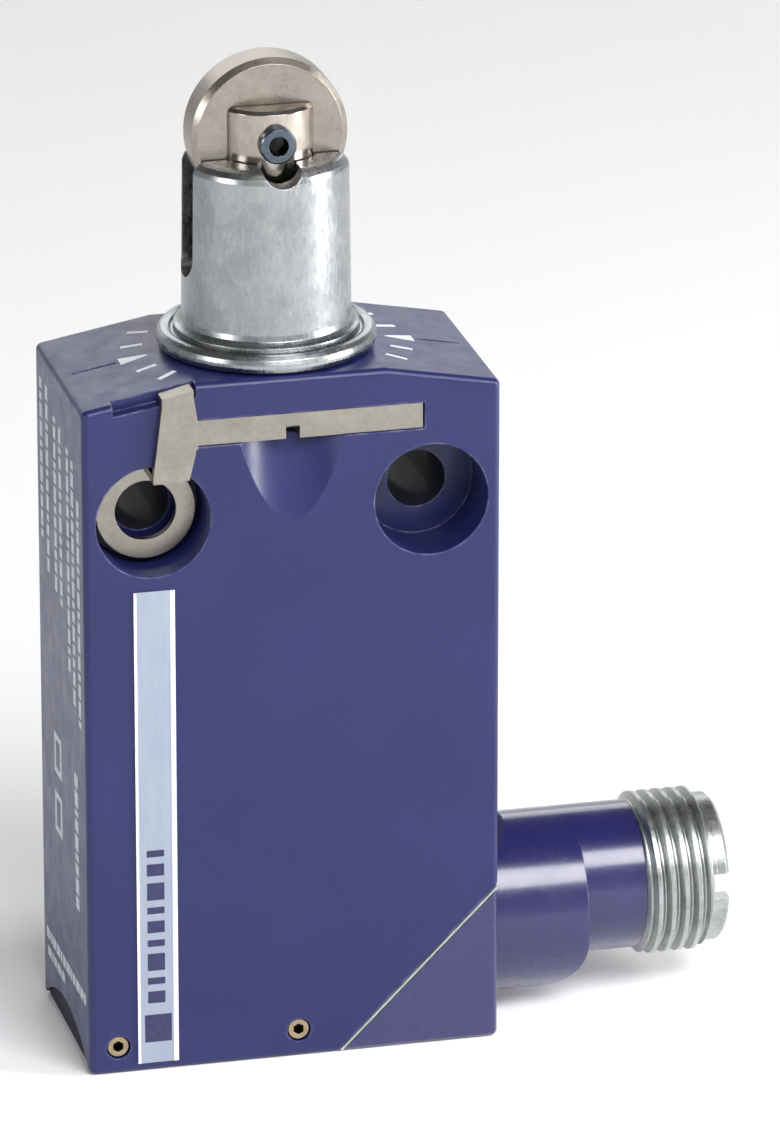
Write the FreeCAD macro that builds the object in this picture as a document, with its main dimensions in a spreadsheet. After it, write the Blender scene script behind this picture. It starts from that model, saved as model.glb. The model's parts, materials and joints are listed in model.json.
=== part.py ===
import FreeCAD, Part
import math
import os
import re

import Sketcher
from FreeCAD import Placement, Rotation, Vector

# Miniature limit switch: die-cast body, roller plunger head and a turnable corner outlet with an
# M12 connector.  The case frame has X to the right, Y from the front to the back face at 0 and Z up
# from the underside.  The head frame stands on the crown of the case, on the head's own axis.  Every
# sub-part is built in one of them and then placed so that the origin of the whole is the middle of
# the two fixing holes on the back face.
DIMENSIONS = {
    # case
    "case_width": 30.0,
    "case_depth": 16.0,
    "shoulder_height": 50.0,
    "crown_height": 51.5,
    "crown_half": 6.75,
    "corner_leg": 12.0,
    "edge_round": 0.5,
    "wall": 2.0,
    "floor_height": 4.5,
    "cavity_half": 12.4,
    "cavity_top": 35.4,
    "cover_thick": 1.2,
    "cover_half": 13.6,
    "cover_low": 1.5,
    "cover_top": 36.4,
    "boss_radius": 1.5,
    "boss_offset": 11.5,
    "screw_radius": 0.7,
    "screw_head_radius": 1.5,
    # fixing holes
    "fixing_spacing": 20.0,
    "fixing_height": 41.6,
    "fixing_radius": 2.1,
    "counterbore_radius": 4.1,
    "counterbore_depth": 4.5,
    # base plug and grub screws
    "plug_left": -13.4,
    "plug_right": 1.8,
    "plug_wall": 1.6,
    "plug_height": 3.2,
    "entry_radius": 3.4,
    "grub_left": -12.9,
    "grub_right": 0.3,
    "grub_height": 2.05,
    "grub_radius": 0.75,
    # retaining clip
    "clip_low": 46.9,
    "clip_high": 48.85,
    "clip_left": -7.4,
    "clip_right": 9.5,
    "clip_bar": 1.2,
    "fork_half": 5.4,
    "fork_reach": 10.2,
    "fork_gap": 3.55,
    "sheet_thick": 0.6,
    "ring_radius": 3.55,
    "ring_hole": 2.2,
    # pry scoop and foot recess
    "scoop_radius": 5.3,
    "scoop_low": 41.0,
    "recess_radius": 13.6,
    "recess_rise": 2.55,
    "recess_depth": 0.35,
    # label
    "label_left": -11.5,
    "label_width": 2.95,
    "label_low": 0.7,
    "label_high": 36.5,
    "label_thick": 0.12,
    # head, measured from the crown
    "flange_radius": 7.8,
    "flange_thick": 1.4,
    "barrel_radius": 5.88,
    "barrel_foot": 6.0,
    "barrel_top": 14.15,
    "bore_radius": 3.56,
    "bore_floor": 1.2,
    "neck_radius": 4.25,
    "neck_depth": 6.5,
    "neck_groove": 3.4,
    "socket_radius": 4.3,
    "rod_radius": 1.4,
    "rod_hole": 1.5,
    "slot_half": 1.8,
    "slot_low": 5.3,
    "plunger_radius": 3.5,
    "plunger_low": 7.2,
    "plunger_top": 17.9,
    "plunger_slot": 9.3,
    "roller_radius": 5.6,
    "roller_half": 1.6,
    "roller_height": 15.6,
    "pin_radius": 1.3,
    "pin_half": 4.2,
    "pin_dimple": 0.72,
    "travel": 4.0,
    # contact block
    "block_half": 9.8,
    "block_front": 13.4,
    "block_back": 3.6,
    "block_low": 15.5,
    "block_high": 34.5,
    "block_skin": 1.2,
    "carriage_low": 25.0,
    "carriage_high": 33.0,
    "blade_height": 28.0,
    "blade_thick": 0.4,
    "blade_half": 7.4,
    "button_offset": 6.6,
    "button_radius": 0.7,
    "terminal_low": 13.0,
    # corner outlet
    "joint_gap": 0.32,
    "gasket_thick": 0.16,
    "spigot_radius": 4.35,
    "spigot_length": 3.6,
    "spigot_bore": 2.8,
    "tube_radius": 6.45,
    "tube_height": 7.2,
    "tube_end": 22.2,
    "tube_round": 4.8,
    "collar_radius": 5.4,
    "collar_end": 26.8,
    "collar_bore": 4.6,
    "thread_height": 8.4,
    # connector
    "tail_start": 21.5,
    "tail_radius": 4.5,
    "thread_radius": 5.95,
    "root_radius": 5.35,
    "thread_end": 31.75,
    "rim_radius": 5.42,
    "rim_end": 33.0,
    "shell_bore": 4.2,
    "tail_bore": 3.3,
    "insert_face": 27.4,
    "contact_radius": 0.5,
    "contact_circle": 2.5,
    "contact_start": 20.0,
    "contact_end": 32.0,
    "wire_radius": 0.4,
}

DOC = FreeCAD.newDocument("LimitSwitch")
SUB_PARTS = []
TURN_TO = {
    "X": Rotation(Vector(0, 1, 0), 90),
    "Y": Rotation(Vector(1, 0, 0), -90),
    "Z": Rotation(),
}
MIDDLE = "-case_depth / 2"
CASE_FRAME = ("0", "0", "-fixing_height")
HEAD_FRAME = ("0", MIDDLE, "crown_height - fixing_height")


def make_sheet():
    """Spreadsheet of the driving dimensions, one alias per row."""
    sheet = DOC.addObject("Spreadsheet::Sheet", "Dims")
    for row, (alias, number) in enumerate(DIMENSIONS.items(), start=1):
        sheet.set(f"A{row}", alias)
        sheet.set(f"B{row}", str(number))
        sheet.setAlias(f"B{row}", alias)
    DOC.recompute()
    return sheet


SHEET = make_sheet()


def size(alias):
    """A driving dimension as a plain number, read from the sheet."""
    return float(getattr(SHEET, alias))


def formula(text):
    """The same formula with each dimension's name pointing at the sheet."""

    def point_at_sheet(match):
        word = match.group(0)
        return "Dims." + word if word in DIMENSIONS else word

    return re.sub(r"[a-z_]+", point_at_sheet, str(text))


def bind(thing, prop, text):
    thing.setExpression(prop, formula(text))


def bind_place(thing, at):
    for letter, text in zip("xyz", at):
        bind(thing, "Placement.Base." + letter, text)


def finished(thing, name, frame):
    """Names a sub-part, sets it in the frame of the whole and puts it on the list to be written."""
    thing.Label = name
    bind_place(thing, frame)
    SUB_PARTS.append(thing)
    return thing


# ---- building blocks ----

def box(x, y, z):
    """Box between a low and a high formula along each axis."""
    block = DOC.addObject("Part::Box", "block")
    for prop, (low, high) in zip(("Length", "Width", "Height"), (x, y, z)):
        bind(block, prop, f"({high}) - ({low})")
    bind_place(block, (x[0], y[0], z[0]))
    return block


def cylinder(axis, at, radius, length):
    """Cylinder that starts at a point and runs along X, Y or Z."""
    rod = DOC.addObject("Part::Cylinder", "rod")
    bind(rod, "Radius", radius)
    bind(rod, "Height", length)
    rod.Placement = Placement(Vector(), TURN_TO[axis])
    bind_place(rod, at)
    return rod


def slanted_cylinder(along, radius, start, length):
    """Cylinder on the outlet's 45 degree axis, with distances counted from the joint plane."""
    rod = DOC.addObject("Part::Cylinder", "slanted_rod")
    bind(rod, "Radius", radius)
    bind(rod, "Height", length)
    rod.Placement = Placement(Vector(), Rotation(Vector(0, 0, 1), along))
    step = f"({start}) * {along.x:.6f}"
    bind_place(rod, (f"(case_width - corner_leg) / 2 + {step}", MIDDLE, f"corner_leg / 2 - {step}"))
    return rod


def ring(axis, radius, thickness):
    """Round-section ring about an axis through the origin."""
    torus = DOC.addObject("Part::Torus", "ring")
    bind(torus, "Radius1", radius)
    bind(torus, "Radius2", thickness)
    torus.Placement = Placement(Vector(), TURN_TO[axis])
    return torus


def fuse(shapes):
    joined = DOC.addObject("Part::MultiFuse", "joined")
    joined.Shapes = shapes
    joined.Refine = True
    return joined


def common(shapes):
    shared = DOC.addObject("Part::MultiCommon", "shared")
    shared.Shapes = shapes
    shared.Refine = True
    return shared


def cut(base, tools):
    """Base with one or more tools taken away."""
    result = DOC.addObject("Part::Cut", "cut")
    result.Base = base
    result.Tool = tools[0] if len(tools) == 1 else fuse(tools)
    result.Refine = True
    return result


def outline(sketch, corners):
    """Closed outline through the corners, each held by formulas for its two coordinates."""
    count = len(corners)
    start = [Vector(math.cos(6.28 * i / count), math.sin(6.28 * i / count), 0) for i in range(count)]
    for i in range(count):
        sketch.addGeometry(Part.LineSegment(start[i], start[(i + 1) % count]), False)
    for i in range(count):
        sketch.addConstraint(Sketcher.Constraint("Coincident", i, 2, (i + 1) % count, 1))
    for i, corner in enumerate(corners):
        for kind, begin, text in zip(("DistanceX", "DistanceY"), start[i], corner):
            index = sketch.addConstraint(Sketcher.Constraint(kind, -1, 1, i, 1, begin))
            bind(sketch, f"Constraints[{index}]", text)


def body_sketch(body, role):
    """Sketch on one of a body's own origin planes."""
    sketch = body.newObject("Sketcher::SketchObject", "sketch")
    plane = [item for item in body.Origin.OriginFeatures if item.Role == role][0]
    sketch.AttachmentSupport = (plane, [""])
    sketch.MapMode = "FlatFace"
    return sketch


def revolved(corners):
    """Body turned about its own Z axis from a half section in radius and height."""
    body = DOC.addObject("PartDesign::Body", "turned")
    sketch = body_sketch(body, "XZ_Plane")
    outline(sketch, corners)
    turning = body.newObject("PartDesign::Revolution", "turning")
    turning.Profile = sketch
    turning.ReferenceAxis = (sketch, ["V_Axis"])
    turning.Angle = 360
    return body


def prism(corners, y):
    """Body padded from an outline in X and Z, between two depths."""
    body = DOC.addObject("PartDesign::Body", "prism")
    sketch = body_sketch(body, "XZ_Plane")
    outline(sketch, corners)
    pad = body.newObject("PartDesign::Pad", "pad")
    pad.Profile = sketch
    bind(pad, "Length", f"({y[1]}) - ({y[0]})")
    bind(body, "Placement.Base.y", y[1])
    return body


def rounded(base, alias, wanted):
    """Base with the edges that a test picks rounded by one radius of the sheet."""
    DOC.recompute()
    fillet = DOC.addObject("Part::Fillet", "rounding")
    fillet.Base = base
    radius = size(alias)
    edges = [i for i, edge in enumerate(base.Shape.Edges, start=1) if wanted(edge)]
    fillet.Edges = [(index, radius, radius) for index in edges]
    return fillet


def pair(make, *texts):
    """The same building block on the right and on the left."""
    return [make(side, *texts) for side in ("1", "-1")]


def slanted(x, offset):
    """Corner on a line parallel to the joint plane, at a distance into the case."""
    return (x, f"({x}) - (case_width / 2 - corner_leg) + ({offset}) * sqrt(2)")


# ---- case ----

def case_blank():
    half = "case_width / 2"
    corners = [
        ("-" + half, "0"),
        (half + " - corner_leg", "0"),
        (half, "corner_leg"),
        (half, "shoulder_height"),
        ("crown_half", "crown_height"),
        ("-crown_half", "crown_height"),
        ("-" + half, "shoulder_height"),
    ]
    blank = prism(corners, ("-case_depth", "0"))

    def outer_edge(edge):
        middle = edge.CenterOfMass
        on_diagonal = abs(middle.x - middle.z - (size("case_width") / 2 - size("corner_leg"))) < 0.01
        on_crown = abs(middle.x) < size("crown_half") + 0.01 and middle.z > size("shoulder_height")
        return not on_diagonal and not (on_crown and abs(middle.y + size("case_depth") / 2) < 0.01)

    return rounded(blank, "edge_round", outer_edge)


def boss_places():
    """X and Z of the four cover screws."""
    return [
        ("-boss_offset", "cavity_top - 0.9"),
        ("boss_offset", "cavity_top - 0.9"),
        ("-boss_offset", "floor_height + boss_radius"),
        ("boss_offset", "corner_leg + 2.2"),
    ]


def cavity_tool():
    """Space for the contact block, open to the back, with a boss left standing for each cover screw."""
    ledge = "floor_height - 1.5"
    corners = [
        ("-cavity_half", "floor_height"),
        ("plug_right + 0.6", "floor_height"),
        ("plug_right + 0.6", ledge),
        (f"({ledge}) + (case_width / 2 - corner_leg) - wall * sqrt(2)", ledge),
        slanted("cavity_half", "wall"),
        ("cavity_half", "cavity_top"),
        ("-cavity_half", "cavity_top"),
    ]
    space = prism(corners, ("-case_depth + wall", "1"))
    bosses = [cylinder("Y", (x, "-case_depth", z), "boss_radius", "case_depth - cover_thick")
              for x, z in boss_places()]
    return cut(space, bosses)


def cover_corners(gap):
    """Outline of the back cover, or of its seat when the gap is 0."""
    limit = "case_width / 2 - corner_leg - cover_thick * sqrt(2)"
    low = f"cover_low + {gap}"
    side = f"cover_half - {gap}"
    return [
        (f"-({side})", low),
        (f"{low} + {limit} - {gap}", low),
        (side, f"{side} - ({limit}) + {gap}"),
        (side, f"cover_top - {gap}"),
        (f"-({side})", f"cover_top - {gap}"),
    ]


def fixing_tools():
    def bore(side):
        x = side + " * fixing_spacing / 2"
        hole = cylinder("Y", (x, "-case_depth - 1", "fixing_height"), "fixing_radius", "case_depth + 2")
        seat = cylinder("Y", (x, "-case_depth - 1", "fixing_height"), "counterbore_radius",
                        "counterbore_depth + 1")
        return fuse([hole, seat])

    return pair(bore)


def head_socket_tools():
    """Stepped bore that takes the head's neck and guides the push rod."""
    socket_floor = "crown_height - neck_depth - 0.4"
    socket = cylinder("Z", ("0", MIDDLE, socket_floor), "socket_radius", "neck_depth + 2")
    guide = cylinder("Z", ("0", MIDDLE, "cavity_top - 1"), "rod_hole", "crown_height - cavity_top")
    return [socket, guide]


def clip_slot_tools():
    """Shallow slot for the clip's bar, deep slot for its fork, and the rebate for its folded lip."""
    bar_slot = box(("clip_left", "clip_right"), ("-case_depth - 1", "-case_depth + clip_bar + 0.1"),
                   ("clip_low", "clip_high"))
    fork_slot = box(("-fork_half", "fork_half"), ("-case_depth - 1", "-case_depth + fork_reach"),
                    ("clip_low", "clip_high"))
    rebate = prism([("-12.8", "shoulder_height - 0.4"), ("-6.9", "crown_height - 0.9"),
                    ("-6.9", "crown_height + 1"), ("-12.8", "crown_height + 1")],
                   ("-case_depth - 1", "-case_depth + 1"))
    return [bar_slot, fork_slot, rebate]


def pry_scoop_tool():
    """Leaning round scoop under the clip's bar, where a screwdriver levers the clip out."""
    depth, rise = 1.6, 6.0
    length = math.hypot(depth, rise)
    lean_y, lean_z = depth / length, rise / length
    scoop = DOC.addObject("Part::Cylinder", "scoop")
    bind(scoop, "Radius", "scoop_radius")
    scoop.Height = length + 0.4
    scoop.Placement = Placement(Vector(), Rotation(Vector(0, 0, 1), Vector(0, lean_y, lean_z)))
    bind_place(scoop, ("0", f"-case_depth - scoop_radius * {lean_z:.5f}",
                       f"scoop_low + scoop_radius * {lean_y:.5f}"))
    return scoop


def engraved_line_tools():
    """Fine lines on the case's mid plane, cut a little below the sloping top."""
    def line(side):
        inner, outer, depth = "10.8", "14.0", 0.25
        slope = "(crown_height - shoulder_height) / (case_width / 2 - crown_half)"
        places = [(inner, -depth), (outer, -depth), (outer, 1), (inner, 1)]
        corners = [(f"{side} * {x}", f"crown_height - ({x} - crown_half) * {slope} + ({rise})")
                   for x, rise in places]
        return prism(corners, (MIDDLE + " - 0.14", MIDDLE + " + 0.14"))

    return pair(line)


def side_recess_tool():
    """Shallow arched recess at the foot of the left side."""
    return cylinder("X", ("-case_width / 2 - 1", MIDDLE, "recess_rise - recess_radius"), "recess_radius",
                    "recess_depth + 1")


def base_recess_tools():
    recess = box(("plug_left", "plug_right"), ("-case_depth + plug_wall", "-plug_wall"),
                 ("-1", "plug_height"))
    entry = cylinder("Z", ("(plug_left + plug_right) / 2", MIDDLE, "0"), "entry_radius", "floor_height + 1")
    grub_holes = [cylinder("Y", (x, "-case_depth - 1", "grub_height"), "grub_radius + 0.12", "plug_wall + 1")
                  for x in ("grub_left", "grub_right")]
    return [recess, entry] + grub_holes


def housing():
    cover_seat = prism(cover_corners("0"), ("-cover_thick", "1"))
    screw_holes = [cylinder("Y", (x, "-5.2", z), "screw_radius + 0.02", "5.2") for x, z in boss_places()]
    spigot_bore = slanted_cylinder(Vector(1, 0, -1).normalize(), "spigot_radius + 0.05",
                                   "-spigot_length - 2", "spigot_length + 3")
    tools = [cavity_tool(), cover_seat, spigot_bore, pry_scoop_tool(), side_recess_tool()]
    tools += fixing_tools() + head_socket_tools() + clip_slot_tools() + engraved_line_tools()
    tools += base_recess_tools() + screw_holes
    finished(cut(case_blank(), tools), "housing", CASE_FRAME)


def back_cover():
    plate = prism(cover_corners("0.08"), ("-cover_thick", "-0.02"))
    holes = []
    for x, z in boss_places():
        holes.append(cylinder("Y", (x, "-cover_thick - 1", z), "screw_radius + 0.1", "3"))
        sink = DOC.addObject("Part::Cone", "countersink")
        bind(sink, "Radius1", "screw_radius + 0.1")
        bind(sink, "Radius2", "screw_head_radius + 0.1")
        sink.Height = 0.8
        sink.Placement = Placement(Vector(), TURN_TO["Y"])
        bind_place(sink, (x, "-0.8", z))
        holes.append(sink)
    finished(cut(plate, holes), "back_cover", CASE_FRAME)


def cover_screws():
    """Four countersunk screws with a cross slot."""
    screws = []
    for x, z in boss_places():
        screw = revolved([("0", "-4.8"), ("screw_radius - 0.15", "-4.8"), ("screw_radius", "-4.5"),
                          ("screw_radius", "-0.85"), ("screw_head_radius", "-0.1"), ("0", "-0.1")])
        screw.Placement = Placement(Vector(), TURN_TO["Y"])
        bind_place(screw, (x, "0", z))
        across = box((f"{x} - 0.9", f"{x} + 0.9"), ("-0.5", "0"), (f"{z} - 0.14", f"{z} + 0.14"))
        upright = box((f"{x} - 0.14", f"{x} + 0.14"), ("-0.5", "0"), (f"{z} - 0.9", f"{z} + 0.9"))
        screws.append(cut(screw, [across, upright]))
    finished(fuse(screws), "cover_screws", CASE_FRAME)


def base_plug():
    """Blanking plug in the unused cable entry, with a grip slot across its underside."""
    plate = box(("plug_left + 0.1", "plug_right - 0.1"),
                ("-case_depth + plug_wall + 0.05", "-plug_wall - 0.1"), ("0.1", "plug_height - 0.02"))
    boss = cylinder("Z", ("(plug_left + plug_right) / 2", MIDDLE, "1"), "entry_radius - 0.08",
                    "floor_height - 1.1")
    slot = box(("plug_left + 4", "plug_right - 4"), (MIDDLE + " - 0.6", MIDDLE + " + 0.6"), ("-1", "0.9"))
    finished(cut(fuse([plate, boss]), [slot]), "base_plug", CASE_FRAME)


def hexagon(x, z, reach, y):
    corners = [(f"{x} + {reach * math.cos(math.radians(60 * i + 30)):.4f}",
                f"{z} + {reach * math.sin(math.radians(60 * i + 30)):.4f}") for i in range(6)]
    return prism(corners, y)


def grub_screws():
    """Two socket grub screws in the front wall that bear on the base plug."""
    screws = []
    for x in ("grub_left", "grub_right"):
        blank = cylinder("Y", (x, "-case_depth + 0.2", "grub_height"), "grub_radius", "plug_wall - 0.22")
        socket = hexagon(x, "grub_height", 0.43, ("-case_depth - 1", "-case_depth + 1.3"))
        screws.append(cut(blank, [socket]))
    finished(fuse(screws), "grub_screws", CASE_FRAME)


def label_strip():
    strip = box(("0", "label_width"), ("0", "label_thick"), ("label_low", "label_high"))
    finished(strip, "label_strip", ("label_left", "-case_depth - label_thick", "label_low - fixing_height"))


def retaining_clip():
    """One bent piece: a fork round the head's neck, a bar, a tab with a folded lip, and a ring.

    The tab stands in front of the case.  Its lip folds back over the top edge, and a step at its foot
    runs back into the left counterbore, where the ring lies.
    """
    low, high = "clip_low + 0.05", "clip_high - 0.05"
    front = "-case_depth - sheet_thick - 0.05"
    face = "-case_depth - 0.05"
    bar_back = "-case_depth + clip_bar"
    leg_side = "fork_half - 0.1"
    leg_depths = (bar_back, "-case_depth + fork_reach - 0.2")
    bar = box(("clip_left + 0.1", "clip_right - 0.1"), ("-case_depth + 0.12", bar_back), (low, high))
    web = box((f"-({leg_side})", leg_side), (bar_back + " - 0.2", "-case_depth + 4.1"), (low, high))
    right_leg = box(("fork_gap", leg_side), leg_depths, (low, high))
    left_leg = box((f"-({leg_side})", "-fork_gap"), leg_depths, (low, high))
    lip_left, lip_right = ("-9.45", "50.25"), ("-7.2", "50.75")
    tab = prism([("-10.1", "45.05"), ("-7.55", "44.7"), ("-7.1", "46.5"), ("-6.85", "48.5"),
                 lip_right, lip_left], (front, face))
    lip = prism([lip_left, lip_right, (lip_right[0], lip_right[1] + " + sheet_thick"),
                 (lip_left[0], lip_left[1] + " + sheet_thick")], (front, "-case_depth + 0.85"))
    bend = box(("clip_left + 0.1", "-6.9"), (front, bar_back), (low, high))
    step = box(("-10.1", "-8.1"), (front, "-case_depth + 3.2"), ("44.6", "45.2"))
    centre = ("-fixing_spacing / 2", "-case_depth + 2.6", "fixing_height")
    washer = cylinder("Y", centre, "ring_radius", "sheet_thick")
    ear = cylinder("Y", ("-fixing_spacing / 2 - 1.6", "-case_depth + 2.6", "fixing_height + 2.8"),
                   "0.75", "sheet_thick")
    hole = cylinder("Y", ("-fixing_spacing / 2", "-case_depth - 1", "fixing_height"), "ring_hole", "6")
    notch = box(("-0.45", "0.55"), ("-case_depth - 1", "-case_depth + 2.2"),
                ("clip_low - 1", "clip_low + 0.95"))
    metal = fuse([bar, web, right_leg, left_leg, tab, lip, bend, step, washer, ear])
    finished(cut(metal, [hole, notch]), "retaining_clip", CASE_FRAME)


# ---- head ----

def head_body():
    """Flange and barrel on top, grooved neck below, with slots for the roller and the pin's ends."""
    bore_foot = "bore_floor - 1.2"
    groove_low, groove_high = "clip_low - crown_height - 0.15", "clip_high - crown_height + 0.05"
    blank = revolved([
        ("rod_radius + 0.15", "-neck_depth"),
        ("neck_radius - 0.3", "-neck_depth"),
        ("neck_radius", "-neck_depth + 0.3"),
        ("neck_radius", groove_low),
        ("neck_groove", groove_low),
        ("neck_groove", groove_high),
        ("neck_radius", groove_high),
        ("neck_radius", "-1.8"),
        ("neck_radius - 0.65", "-1.8"),
        ("neck_radius - 0.65", "-0.6"),
        ("neck_radius", "-0.6"),
        ("neck_radius", "0.04"),
        ("flange_radius - 0.45", "0.04"),
        ("flange_radius - 0.14", "0.2"),
        ("flange_radius", "0.55"),
        ("flange_radius", "0.8"),
        ("flange_radius - 0.12", "1.1"),
        ("flange_radius - 0.35", "flange_thick - 0.06"),
        ("flange_radius - 0.65", "flange_thick"),
        ("flange_radius - 0.9", "flange_thick - 0.1"),
        ("flange_radius - 1.05", "flange_thick - 0.35"),
        ("flange_radius - 1.2", "flange_thick - 0.35"),
        ("flange_radius - 1.25", "flange_thick + 0.2"),
        ("barrel_foot + 0.3", "flange_thick + 0.35"),
        ("barrel_foot + 0.1", "flange_thick + 0.55"),
        ("barrel_foot", "flange_thick + 0.95"),
        ("barrel_radius", "barrel_top - 0.85"),
        ("barrel_radius - 0.12", "barrel_top - 0.5"),
        ("barrel_radius - 0.4", "barrel_top - 0.18"),
        ("barrel_radius - 0.8", "barrel_top"),
        ("bore_radius + 0.15", "barrel_top"),
        ("bore_radius", "barrel_top - 0.15"),
        ("bore_radius", "bore_floor"),
        ("rod_hole + 0.9", "bore_floor"),
        ("rod_hole + 0.9", bore_foot),
        ("rod_radius + 0.15", bore_foot),
    ])
    slot_end = cylinder("X", ("-10", "0", "slot_low + slot_half"), "slot_half", "20")
    slot = box(("-10", "10"), ("-slot_half", "slot_half"), ("slot_low + slot_half", "barrel_top + 1"))
    notch = cylinder("Y", ("0", "-10", "barrel_top + 0.25"), "pin_radius + 0.1", "20")
    pin_ways = box(("-pin_radius - 0.08", "pin_radius + 0.08"), ("-pin_half - 0.2", "pin_half + 0.2"),
                   ("roller_height - travel - pin_radius - 0.2", "barrel_top + 1"))
    finished(cut(blank, [slot_end, slot, notch, pin_ways]), "head_body", HEAD_FRAME)


def head_seal():
    seal = ring("Z", "neck_radius - 0.27", "0.29")
    finished(seal, "head_seal", ("0", MIDDLE, "crown_height - fixing_height - 1.2"))


def plunger_seal():
    finished(revolved([("rod_radius + 0.03", "0.03"), ("rod_hole + 0.85", "0.03"),
                       ("rod_hole + 0.85", "bore_floor - 0.1"), ("rod_radius + 0.25", "bore_floor - 0.1"),
                       ("rod_radius + 0.03", "bore_floor - 0.4")]), "plunger_seal", HEAD_FRAME)


def plunger():
    """Stem below, wide guide above, forked for the roller and bored for its pin."""
    blank = revolved([
        ("0", "-neck_depth + 0.45"),
        ("rod_radius", "-neck_depth + 0.45"),
        ("rod_radius", "plunger_low"),
        ("plunger_radius", "plunger_low"),
        ("plunger_radius", "plunger_top - 0.25"),
        ("plunger_radius - 0.25", "plunger_top"),
        ("0", "plunger_top"),
    ])
    fork = box(("-5", "5"), ("-roller_half - 0.12", "roller_half + 0.12"),
               ("plunger_slot", "plunger_top + 1"))
    pin_bore = cylinder("Y", ("0", "-5", "roller_height"), "pin_radius", "10")
    finished(cut(blank, [fork, pin_bore]), "plunger", HEAD_FRAME)


def roller():
    wheel = revolved([
        ("pin_radius + 0.05", "-roller_half"),
        ("roller_radius - 0.4", "-roller_half"),
        ("roller_radius", "-roller_half + 0.4"),
        ("roller_radius", "roller_half - 0.4"),
        ("roller_radius - 0.4", "roller_half"),
        ("pin_radius + 0.05", "roller_half"),
    ])
    wheel.Placement = Placement(Vector(), TURN_TO["Y"])
    finished(wheel, "roller", ("0", MIDDLE, "crown_height - fixing_height + roller_height"))


def roller_pin():
    """Pin with a drilled dimple in each end."""
    pin = revolved([
        ("0", "-pin_half + 1.3"),
        ("pin_dimple - 0.1", "-pin_half + 1.2"),
        ("pin_dimple", "-pin_half"),
        ("pin_radius - 0.12", "-pin_half"),
        ("pin_radius", "-pin_half + 0.12"),
        ("pin_radius", "pin_half - 0.12"),
        ("pin_radius - 0.12", "pin_half"),
        ("pin_dimple", "pin_half"),
        ("pin_dimple - 0.1", "pin_half - 1.2"),
        ("0", "pin_half - 1.3"),
    ])
    pin.Placement = Placement(Vector(), TURN_TO["Y"])
    finished(pin, "roller_pin", ("0", MIDDLE, "crown_height - fixing_height + roller_height"))


def coil_spring(name, radius, wire, low, high, turns, frame):
    """Coil spring about Z, standing between two heights."""
    pitch = (high - low - 2 * wire) / turns
    path = Part.makeHelix(pitch, pitch * turns, radius)
    path.translate(Vector(0, 0, low + wire))
    section = Part.Wire(Part.makeCircle(wire, Vector(radius, 0, low + wire), Vector(0, 1, 0)))
    coil = DOC.addObject("Part::Feature", name)
    coil.Shape = Part.Wire(path.Edges).makePipeShell([section], True, True)
    finished(coil, name, frame)


def plunger_spring():
    coil_spring("plunger_spring", 2.5, 0.3, size("bore_floor") + 0.03, size("plunger_low") - 0.03, 4,
                HEAD_FRAME)


# ---- switching parts ----

def push_rod():
    """Rod that stands on the carriage and reaches up to the plunger's stem."""
    rod = cylinder("Z", ("0", "0", "0"), "rod_radius", "crown_height - neck_depth + 0.4 - carriage_high")
    finished(rod, "push_rod", ("0", MIDDLE, "carriage_high - fixing_height"))


def contact_block_base():
    """Open-backed moulding with slots in its floor for the four terminals."""
    shell = box(("-block_half", "block_half"), ("-block_front", "-block_back"), ("block_low", "block_high"))
    room = box(("-block_half + 0.5", "block_half - 0.5"), ("-block_front + block_skin", "0"),
               ("block_low + block_skin", "block_high - block_skin"))
    way = cylinder("Z", ("0", MIDDLE, "block_high - 2"), "rod_hole", "4")

    def terminal_slots(side):
        outer = box((f"{side} * 9 - 0.25", f"{side} * 9 + 0.25"), (MIDDLE + " - 1.05", MIDDLE + " + 1.05"),
                    ("block_low - 1", "block_low + 2"))
        inner = box((f"{side} * 8 - 0.25", f"{side} * 8 + 0.25"), (MIDDLE + " - 1.05", MIDDLE + " + 1.05"),
                    ("block_low - 1", "block_low + 2"))
        return fuse([outer, inner])

    finished(cut(shell, [room, way] + pair(terminal_slots)), "contact_block_base", CASE_FRAME)


def contact_block_lid():
    plate = box(("-block_half", "block_half"), ("-block_back", "-block_back + 1"),
                ("block_low", "block_high"))
    window = box(("-4", "4"), ("-block_back + 0.5", "0"), ("block_low + 4", "block_high - 4"))
    finished(cut(plate, [window]), "contact_block_lid", CASE_FRAME)


def contact_carriage():
    """Slider with a window that lets the contact bridge lag behind it."""
    slider = box(("-2.4", "2.4"), (MIDDLE + " - 3", MIDDLE + " + 3"), ("carriage_low", "carriage_high"))
    window = box(("-5", "5"), (MIDDLE + " - 1.3", MIDDLE + " + 1.3"),
                 ("blade_height - 0.3", "blade_height + 3.5"))
    finished(cut(slider, [window]), "contact_carriage", CASE_FRAME)


def carriage_spring():
    centre = CASE_FRAME[0], MIDDLE, CASE_FRAME[2]
    coil_spring("carriage_spring", 1.6, 0.3, size("block_low") + size("block_skin") + 0.03,
                size("carriage_low") - 0.03, 6, centre)


def contact_bridge():
    """Blade that carries a contact button on both faces of each end."""
    blade = box(("-blade_half", "blade_half"), (MIDDLE + " - 1", MIDDLE + " + 1"),
                ("blade_height", "blade_height + blade_thick"))

    def buttons(side):
        return cylinder("Z", (side + " * button_offset", MIDDLE, "blade_height - 0.4"), "button_radius",
                        "blade_thick + 0.8")

    finished(fuse([blade] + pair(buttons)), "contact_bridge", CASE_FRAME)


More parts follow.
